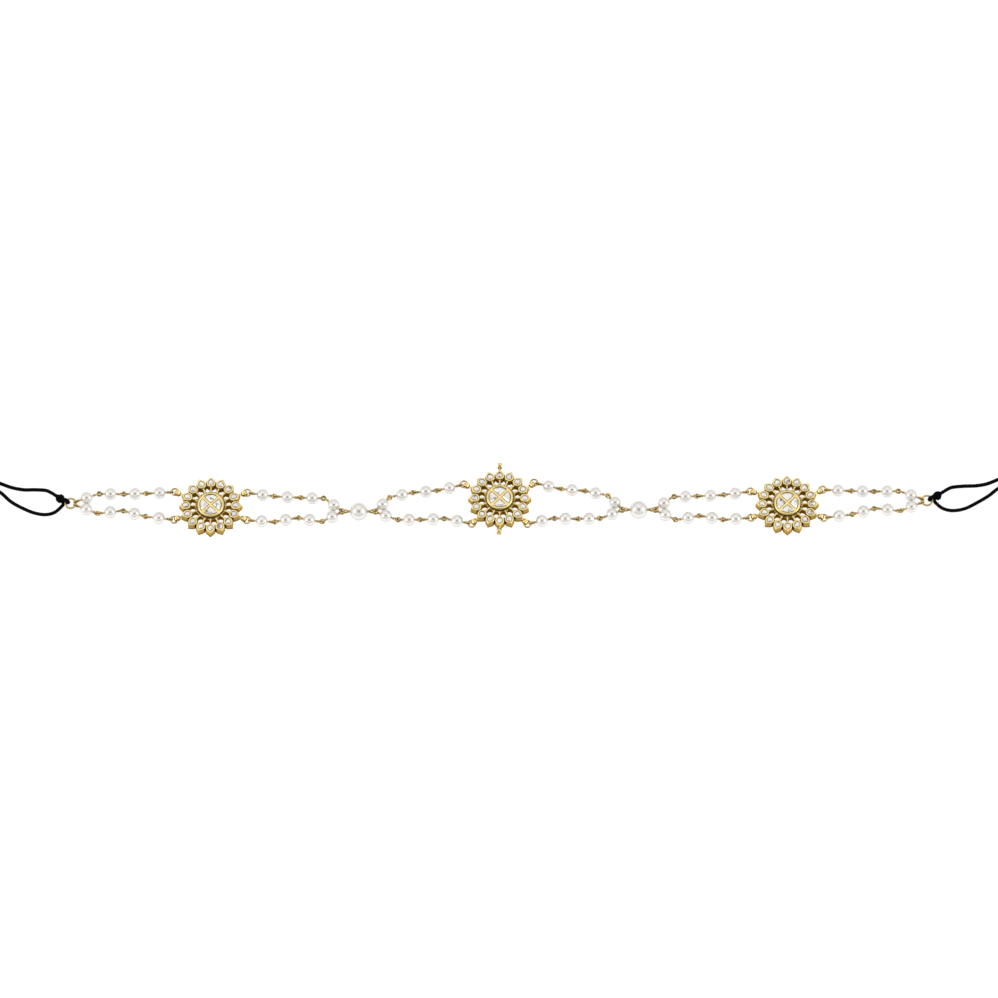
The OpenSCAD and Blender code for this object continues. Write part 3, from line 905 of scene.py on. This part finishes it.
class JEWEL_OT_cords(bpy.types.Operator):
    """Lays the two elastic cord loops and ties their knots round the end rings."""

    bl_idname = "jewel.cords"
    bl_label = "Cord loops and knots"

    def execute(self, context):
        sizes, wires = context.scene.jewel_cord, context.scene.jewel_wire
        for side in SIDES:
            route = [(x * MM, y * MM, z * MM) for (x, y), z in zip(CORD_ROUTES[side], CORD_HEIGHTS)]
            line = smooth_route(route, 6)
            cord = sweep(f"{side}_cord_loop", line, sizes.cord_d / 2)
            dress(cord, f"{side}_cord", braided_cord)

            ring_middle, middle = middle_of(f"{side}_end_ring"), Vector(KNOT_AT[side]) * MM
            away = Vector((middle.x - ring_middle.x, middle.y - ring_middle.y, 0)).normalized()
            tails = [(line[0], line[0] - line[1]), (line[-1], line[-1] - line[-2])]
            knot = join(
                f"{side}_cord_knot", self.tie(sizes, ring_middle + away * wires.end_ring_r, middle, tails)
            )
            dress(knot, f"{side}_knot", braided_knot)

            length = sum((b - a).length for a, b in zip(line, line[1:]))
        return {"FINISHED"}

    def tie(self, sizes, bight_at, middle, tails):
        """The parts of one knot: a bight round the end ring, its wraps and the two tails that run into the loop."""
        radius, pitch = sizes.cord_d / 2, sizes.wrap_pitch
        axis = (middle - bight_at).normalized()
        bight = begin("bight")
        hoop(corners=14, wire_r=radius, ring_r=sizes.bight_r, steps=28)
        settle(smooth=60)
        put_at(bight, facing(bight_at, axis, axis.cross(Vector(Z_AXIS))))

        turns = 2.6
        start = (sizes.wrap_r, 0, -pitch * turns / 2)
        wraps = wind(corners=14, wire_r=0.94 * radius, start=start, turns=turns, rise=pitch * turns, steps=62)
        bpy.ops.mesh.primitive_cylinder_add(vertices=20, radius=sizes.wrap_r, depth=2.9 * pitch)
        tighter, tightening_steps = 0.96, 9
        for step in range(tightening_steps):
            pick("VERT", lambda corner: abs(corner.co.z) > (0.4 + 0.17 * step) * pitch)
            scale_by(tighter, tighter)
        settle(smooth=60)
        put_at(wraps, facing(middle, axis, Z_AXIS) @ Matrix.Rotation(QUARTER, 4, "Y"))

        parts = [bight, wraps]
        for (spot, step), goal in zip(tails, (middle, middle.lerp(bight_at, 0.45))):
            lead = spot + step.normalized() * 0.45 * (goal - spot).length
            bend = spot.lerp(lead, 0.6).lerp(lead.lerp(goal, 0.3), 0.4)
            route = [spot - step * 0.6, spot, bend, lead.lerp(goal, 0.55), goal]
            parts.append(sweep("tail", smooth_route(route, 5), radius * 0.98))
        return parts


class JEWEL_OT_rings(bpy.types.Operator):
    """Bends the jump rings and the end rings from round wire."""

    bl_idname = "jewel.rings"
    bl_label = "Rings"

    def execute(self, context):
        sizes = context.scene.jewel_wire
        rng = random.Random(RING_SEED)
        jump_rings = [f"{motif}_jump_ring_{number}" for motif in MOTIFS for number in range(1, 5)]
        end_rings = [f"{side}_end_ring" for side in SIDES]
        for nodes, ring_r, wire_d, steps in (
            (jump_rings, sizes.ring_r, sizes.plated_d, 44),
            (end_rings, sizes.end_ring_r, sizes.end_ring_d, 56),
        ):
            master = self.bend(ring_r, wire_d / 2, steps, sizes.ring_cut)
            for node in nodes:
                ring = copy_to(master, turned(rng.uniform(0, FULL), middle_of(node)))
                dress(named(ring, f"{node}_wire"), node, tarnished_wire)
            discard(master)
        return {"FINISHED"}

    def bend(self, ring_r, wire_r, steps, cut):
        """One flat ring round the origin with a fine cut where its ends meet."""
        ring = begin("ring")
        hoop(corners=12, wire_r=wire_r, ring_r=ring_r, steps=steps, cut=cut)
        close_ends()
        soften(
            lambda edge: len(edge.link_faces) == 2 and max(len(face.verts) for face in edge.link_faces) > 4,
            0.2 * wire_r,
        )
        settle(smooth=50)
        return ring


class JEWEL_OT_pins(bpy.types.Operator):
    """Bends the eye pins: an eye at each end, closed by a wrapped collar."""

    bl_idname = "jewel.pins"
    bl_label = "Eye pins"

    def execute(self, context):
        sizes = context.scene.jewel_wire
        strands = [f"{side}_{strand}" for side in SIDES for strand in STRANDS]
        jobs = [(f"{strand}_pins", f"{strand}_pearls", sizes.eye_r) for strand in strands]
        jobs += [(f"{side}_big_pin", f"{side}_big_pearl", sizes.hook_r) for side in SIDES]
        masters = {}
        for node, pearls, ring_r in jobs:
            eyes = eye_places(node, pearls, ring_r, sizes.wire_d / 2)
            if ring_r not in masters:
                masters[ring_r] = self.bend(sizes, ring_r, max(reach for *_, reach in eyes))
            halves = [copy_to(masters[ring_r], facing(spot, ahead, plane)) for spot, ahead, plane, _ in eyes]
            dress(join(f"{node}_wire", halves), node, tarnished_wire)
        discard(*masters.values())
        return {"FINISHED"}

    def bend(self, sizes, ring_r, reach):
        """Half a pin: its eye round the origin, its collar and its stem along +X into the pearl."""
        wire_r, wrap_r = sizes.plated_d / 2, sizes.wrap_d / 2
        rise = sizes.collar_len - sizes.wrap_d
        turns = rise / sizes.wrap_d + 0.5
        start = (sizes.collar_d / 2 - wrap_r, 0, ring_r + wire_r / 2 + wrap_r)
        collar = wind(corners=8, wire_r=wrap_r, start=start, turns=turns, rise=rise, steps=int(18 * turns))
        settle(smooth=60)
        put_at(collar, Matrix.Rotation(QUARTER, 4, "Y"))

        eye = begin("eye")
        hoop(corners=10, wire_r=wire_r, ring_r=ring_r, steps=32)
        put_by()
        circle(corners=12, radius=wire_r, at=(ring_r, 0, 0), turn=ALONG_X)
        extrude(sizes.collar_len + wire_r)
        extrude(reach - ring_r - sizes.collar_len - wire_r)
        settle(smooth=60)
        return join("half_pin", [eye, collar])


class JEWEL_OT_pearls(bpy.types.Operator):
    """Turns and drills the pearls."""

    bl_idname = "jewel.pearls"
    bl_label = "Pearls"

    def execute(self, context):
        sizes = context.scene.jewel_pearl
        rng = random.Random(PEARL_SEED)
        nodes = [f"{side}_{strand}_pearls" for side in SIDES for strand in STRANDS]
        masters = {}
        for node in nodes + [f"{side}_big_pearl" for side in SIDES]:
            places = pearl_places(node)
            radius = places[0][1]
            key = round(radius, 5)
            if key not in masters:
                masters[key] = self.turn(sizes, radius)
            parts = []
            for middle, _, ahead in places:
                roll = rng.uniform(0, FULL)
                parts.append(copy_to(masters[key], facing(middle, ahead, (0, math.sin(roll), math.cos(roll)))))
            dress(join(f"{node}_drilled", parts), node, nacre)
        discard(*masters.values())
        return {"FINISHED"}

    def turn(self, sizes, radius):
        """One pearl round the origin, drilled along X, with the drill hole's edges rounded."""
        pearl = begin("pearl")
        bpy.ops.mesh.primitive_uv_sphere_add(segments=56, ring_count=38, radius=radius, rotation=ALONG_X)
        rim = math.sqrt(radius ** 2 - (sizes.bore / 2) ** 2)
        for way in (-1, 1):
            trim((way * rim, 0, 0), (way, 0, 0))
        pick("EDGE", lambda edge: edge.is_boundary)
        bpy.ops.mesh.bridge_edge_loops()
        soften(lambda edge: all(abs(abs(corner.co.x) - rim) < LEVEL for corner in edge.verts), sizes.bore_round)
        settle(smooth=40)
        return pearl


class JEWEL_OT_settings(bpy.types.Operator):
    """Casts the three flower motifs: pierced plate, petal bezels, centre bezel with crossed bars, and eyelets."""

    bl_idname = "jewel.settings"
    bl_label = "Flower settings"

    def execute(self, context):
        sizes, eyelets = context.scene.jewel_flower, context.scene.jewel_eyelet
        body, eyelet = self.cast_body(sizes), self.cast_eyelet(eyelets)
        for motif in MOTIFS:
            middle = middle_of(f"{motif}_petal_stones")
            middle.z = 0
            parts = [copy_to(body, Matrix.Translation(middle))]
            for petal, lean in EYELETS[motif]:
                heading = petal * FULL / sizes.petals
                tip = middle + outward(heading, sizes.petal_tip_r)
                tip.z = eyelets.link_z
                parts.append(copy_to(eyelet, turned(heading + math.radians(lean), tip)))
            dress(join(f"{motif}_casting", parts), f"{motif}_setting", polished_gold)
        discard(body, eyelet)
        return {"FINISHED"}

    def cast_body(self, sizes):
        """One flower without its eyelets, flat on the floor round the origin."""
        body = begin("flower")
        self.cast_petals(sizes)
        self.cast_spokes(sizes)
        self.cast_web(sizes)
        self.cast_middle(sizes)
        self.cast_bars(sizes)
        settle(smooth=32)
        return body

    def cast_petals(self, sizes):
        """The petals: a leaf-shaped block, a step in to the bezel, and the pocket for its stone."""
        round_r = sizes.petal_w / 2
        circle(corners=28, radius=round_r)
        draw_leaf(round_r, sizes.petal_tip_r - sizes.petal_centre_r)
        extrude(z=sizes.plate_h)
        step_in(sizes.petal_step)
        extrude(z=sizes.petal_h - sizes.plate_h)
        step_in(sizes.petal_wall)
        extrude(z=-sizes.pocket_depth)
        soften(rims(sizes.petal_h), RIM_ROUND * sizes.petal_wall, segments=5)
        soften(rims(sizes.plate_h), sizes.soft_edge, segments=3)
        pick_all()
        move_by(sizes.petal_centre_r)
        copy_round(sizes.petals)

    def cast_spokes(self, sizes):
        """The spokes between the openings, from the centre bezel into the petals."""
        inner, outer = sizes.bezel_r, sizes.petal_centre_r - 0.4 * sizes.petal_w
        length, low = outer - inner, sizes.web_h - 0.9 * sizes.spoke_t
        block(((inner + outer) / 2, 0, low + sizes.spoke_t / 2), (length, sizes.spoke_w, sizes.spoke_t))

        def top_flank(edge):
            runs = abs(edge.verts[0].co.x - edge.verts[1].co.x)
            return above(edge, low + sizes.spoke_t / 2) and runs > length / 2

        soften(top_flank, 0.36 * sizes.spoke_w, segments=4)
        copy_round(sizes.petals)

    def cast_web(self, sizes):
        """The web: an oval ring round each opening, which slopes down outwards into its neighbours."""
        hole = (sizes.opening_at, 0, 0)
        half_l, half_w = sizes.opening_l / 2, sizes.opening_w / 2
        circle(corners=24, radius=1.0, at=hole, filled=False)
        scale_by(half_l, half_w, about=hole)
        extrude()
        scale_by(1 + sizes.web_w / half_l, 1 + sizes.web_w / half_w, about=hole)
        pick("FACE", lambda face: True)
        extrude(z=sizes.web_h)

        def outer(corner):
            return math.hypot((corner.co.x - sizes.opening_at) / half_l, corner.co.y / half_w) > 1.1

        pick("VERT", lambda corner: corner.co.z > sizes.web_h / 2 and outer(corner))
        move_by(z=-0.35 * sizes.web_w)
        soften(
            lambda edge: above(edge, 0.98 * sizes.web_h) and not any(outer(corner) for corner in edge.verts),
            0.35 * sizes.web_w,
            segments=3,
        )
        pick_all()
        rotate_by(math.pi / sizes.petals)
        copy_round(sizes.petals)

    def cast_middle(self, sizes):
        """The plate's round middle and the centre bezel that stands on it."""
        circle(corners=72, radius=sizes.hub_r)
        extrude(z=sizes.web_h - 0.3 * sizes.web_w)
        soften(lambda edge: above(edge, sizes.web_h / 2) and edge.calc_face_angle(0) > SHARP, sizes.soft_edge)
        put_by()
        foot = sizes.plate_h - sizes.soft_edge
        circle(corners=72, radius=sizes.bezel_r, at=(0, 0, foot))
        extrude(z=sizes.bezel_h - foot)
        step_in(sizes.bezel_wall)
        extrude(z=-sizes.pocket_depth)
        soften(rims(sizes.bezel_h), RIM_ROUND * sizes.bezel_wall, segments=6)
        put_by()

    def cast_bars(self, sizes):
        """The crossed bars between the centre stones, each a little higher than the bezel and flared at its ends."""
        bar_len = 2 * (sizes.bezel_r - 0.12 * sizes.bezel_wall)
        for turn, lift in ((1, 0.05 * MM), (3, 0.04 * MM)):
            middle_z = sizes.bezel_h + lift - sizes.pocket_depth / 2
            block((0, 0, middle_z), (bar_len, sizes.bar_w, sizes.pocket_depth))
            pick("EDGE", lambda edge: edge.calc_length() > 2 * sizes.bar_w)
            bpy.ops.mesh.subdivide(number_cuts=13)
            for start, flare in BAR_FLARES:
                pick("VERT", lambda corner: abs(corner.co.x) > start * bar_len / 2)
                scale_by(1, flare)
            soften(
                lambda edge: above(edge, sizes.bezel_h) and edge.calc_face_angle(0) > 0.8,
                0.42 * sizes.bar_w,
                segments=5,
            )
            pick_all()
            rotate_by(turn * math.pi / 4)
            put_by()

    def cast_eyelet(self, sizes):
        """One barrel eyelet with its neck: its petal's tip at the origin, the neck along +X."""
        eyelet = begin("eyelet")
        wall, middle = sizes.eyelet_r - sizes.eyelet_bore / 2, sizes.neck_len + sizes.eyelet_r
        circle(corners=16, radius=0.5, filled=False)
        scale_by(wall, sizes.eyelet_w)
        pick("VERT", lambda corner: corner.co.x > 0 and abs(corner.co.y) < 0.1 * sizes.eyelet_w)
        move_by(-sizes.groove)
        pick_all()
        move_by(middle + sizes.eyelet_r - wall / 2)
        bpy.ops.mesh.spin(steps=32, angle=FULL, center=(middle, 0, 0), axis=(0, 1, 0), use_auto_merge=True)
        put_by()
        root, half_neck = sizes.neck_root, sizes.neck_len / 2
        circle(corners=16, radius=sizes.neck_d / 2, at=(-root, 0, 0), turn=ALONG_X)
        for step, share in ((root, 0.9), (half_neck, 0.85), (half_neck + 0.35 * wall, 1.2)):
            extrude(step)
            scale_by(1, share, share)
        settle(smooth=50)
        return eyelet


class JEWEL_OT_stones(bpy.types.Operator):
    """Cuts the petal stones and the centre stones, each table leaning a little as hand-cut ones do."""

    bl_idname = "jewel.stones"
    bl_label = "Flat-cut stones"

    def execute(self, context):
        flower, sizes = context.scene.jewel_flower, context.scene.jewel_stone
        seat = sizes.seat_gap - flower.pocket_depth
        rng = random.Random(STONE_SEED)
        for motif in MOTIFS:
            middle = middle_of(f"{motif}_petal_stones")
            leaves = [self.cut_leaf(flower, sizes, rng.uniform(-1, 1), rng.uniform(-1, 1)) for _ in range(5)]
            parts = []
            for number in range(flower.petals):
                heading = number * FULL / flower.petals
                spot = Vector((middle.x, middle.y, flower.petal_h + seat)) + outward(heading, flower.petal_centre_r)
                parts.append(copy_to(rng.choice(leaves), turned(heading, spot)))
            dress(join(f"{motif}_petal_cuts", parts), f"{motif}_petal_stones", foiled_stone)
            discard(*leaves)

            parts = []
            for quarter in range(4):
                sector = self.cut_sector(flower, sizes, rng.uniform(-1, 1), rng.uniform(-1, 1))
                parts.append(put_at(sector, turned(quarter * QUARTER, (middle.x, middle.y, flower.bezel_h + seat))))
            dress(join(f"{motif}_centre_cuts", parts), f"{motif}_centre_stones", foiled_stone)
        return {"FINISHED"}

    def cut_crown(self, sizes, middle_x, lean_x, lean_y):
        """In edit mode, cuts the crown on the raised outline: a steep row of facets, a shallow row and the table."""
        middle = (middle_x, 0, 0)
        ledge = 1 - (1 - sizes.table_share) * 0.45
        for height, share in ((0.62, ledge), (0.304, sizes.table_share / ledge)):
            extrude(z=sizes.crown_h * height)
            scale_by(share, share, about=middle)
        for axis, lean in (("X", lean_x), ("Y", lean_y)):
            level = max(corner.co.z for corner in edited().verts)
            rotate_by(lean * sizes.tilt, axis, (middle_x, 0, level))

    def cut_leaf(self, flower, sizes, lean_x, lean_y):
        """One leaf-shaped stone on the origin, its tip along +X."""
        stone = begin("leaf_stone")
        round_r = flower.petal_w / 2 - flower.petal_step - flower.petal_wall - sizes.foil_gap
        tip_x = (flower.petal_tip_r - flower.petal_centre_r) * round_r / (flower.petal_w / 2)
        circle(corners=12, radius=round_r)
        draw_leaf(round_r, tip_x)
        extrude(z=sizes.girdle_h)
        self.cut_crown(sizes, 0.1 * tip_x, lean_x, lean_y)
        settle(smooth=0)
        return stone

    def cut_sector(self, flower, sizes, lean_x, lean_y):
        """One quarter-round stone, its corner near the origin and its arc along +X."""
        stone = begin("sector_stone")
        radius = flower.bezel_r - flower.bezel_wall - sizes.foil_gap
        corner_x = (flower.bar_w / 2 + sizes.foil_gap) * math.sqrt(2)
        circle(corners=32, radius=radius)
        for way in (-1, 1):
            trim((corner_x, 0, 0), (-1, way, 0))
        pick("FACE", lambda face: True)
        extrude(z=sizes.girdle_h)
        self.cut_crown(sizes, 0.65 * radius, lean_x, lean_y)
        settle(smooth=0)
        return stone


class JEWEL_PT_pieces(bpy.types.Panel):
    """Lists the pieces of the jewel."""

    bl_idname = "JEWEL_PT_pieces"
    bl_label = "Matha patti"
    bl_space_type = "VIEW_3D"
    bl_region_type = "UI"
    bl_category = "Matha patti"

    def draw(self, context):
        for operator in OPERATORS:
            self.layout.operator(operator.bl_idname)


OPERATORS = (
    JEWEL_OT_studio,
    JEWEL_OT_cords,
    JEWEL_OT_rings,
    JEWEL_OT_pins,
    JEWEL_OT_pearls,
    JEWEL_OT_settings,
    JEWEL_OT_stones,
)

GROUPS = {
    "jewel_flower": FlowerSizes,
    "jewel_eyelet": EyeletSizes,
    "jewel_stone": StoneSizes,
    "jewel_wire": WireSizes,
    "jewel_pearl": PearlSizes,
    "jewel_cord": CordSizes,
    "jewel_finish": FinishColours,
    "jewel_studio": StudioSizes,
}


def register():
    """Registers the groups of sizes, the operators and the panel."""
    for name, group in GROUPS.items():
        bpy.utils.register_class(group)
        setattr(bpy.types.Scene, name, bpy.props.PointerProperty(type=group))
    for operator in OPERATORS:
        bpy.utils.register_class(operator)
    bpy.utils.register_class(JEWEL_PT_pieces)


def unregister():
    """Takes all of them away again."""
    bpy.utils.unregister_class(JEWEL_PT_pieces)
    for operator in reversed(OPERATORS):
        bpy.utils.unregister_class(operator)
    for name, group in GROUPS.items():
        delattr(bpy.types.Scene, name)
        bpy.utils.unregister_class(group)


def main():
    """Makes the whole jewel."""
    register()
    bpy.ops.jewel.studio()
    bpy.ops.jewel.cords()
    bpy.ops.jewel.rings()
    bpy.ops.jewel.pins()
    bpy.ops.jewel.pearls()
    bpy.ops.jewel.settings()
    bpy.ops.jewel.stones()
    clear()


if __name__ == "__main__":
    main()
